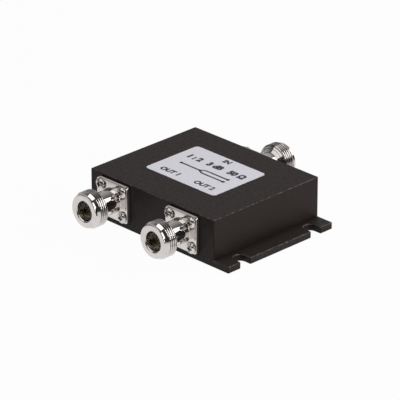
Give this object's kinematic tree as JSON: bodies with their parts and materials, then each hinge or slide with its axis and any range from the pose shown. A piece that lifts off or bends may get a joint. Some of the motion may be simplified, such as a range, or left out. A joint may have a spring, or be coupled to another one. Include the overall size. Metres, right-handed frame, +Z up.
{
  "type": "rf power splitter",
  "caption": "Flat black coaxial power splitter with an input socket at the back, output sockets at the front and a base plate with notched mounting ears.",
  "frame": {"origin": "middle of the base plate's underside", "axes": "+X to the right along the front face, +Y from the output ports to the input port, +Z up through the roof"},
  "size_m": [0.0886, 0.0962, 0.0209],
  "materials": {
    "case_paint": "matt black paint on aluminium",
    "plate_paint": "matt black paint on aluminium, slightly sandy",
    "black_screw": "black zinc",
    "label_film": "satin silver film",
    "laminate": "bare microwave laminate",
    "copper": "etched copper",
    "chip": "chip resistor",
    "steel": "zinc-plated steel",
    "nickel": "bright nickel on brass",
    "ptfe": "natural PTFE",
    "gold": "gold on brass",
    "screw_nickel": "bright nickel on steel"
  },
  "bodies": {
    "root": {"housing": "case_paint", "base_plate": "plate_paint", "cover_screws": "black_screw", "label": "label_film", "circuit_board": "laminate", "copper_tracks": "copper", "isolation_resistors": "chip", "board_screws": "steel", "input_body": "nickel", "input_insulator": "ptfe", "input_contact": "gold", "input_flange_screws": "screw_nickel", "output_1_body": "nickel", "output_1_insulator": "ptfe", "output_1_contact": "gold", "output_1_flange_screws": "screw_nickel", "output_2_body": "nickel", "output_2_insulator": "ptfe", "output_2_contact": "gold", "output_2_flange_screws": "screw_nickel"}
  },
  "joints": []
}
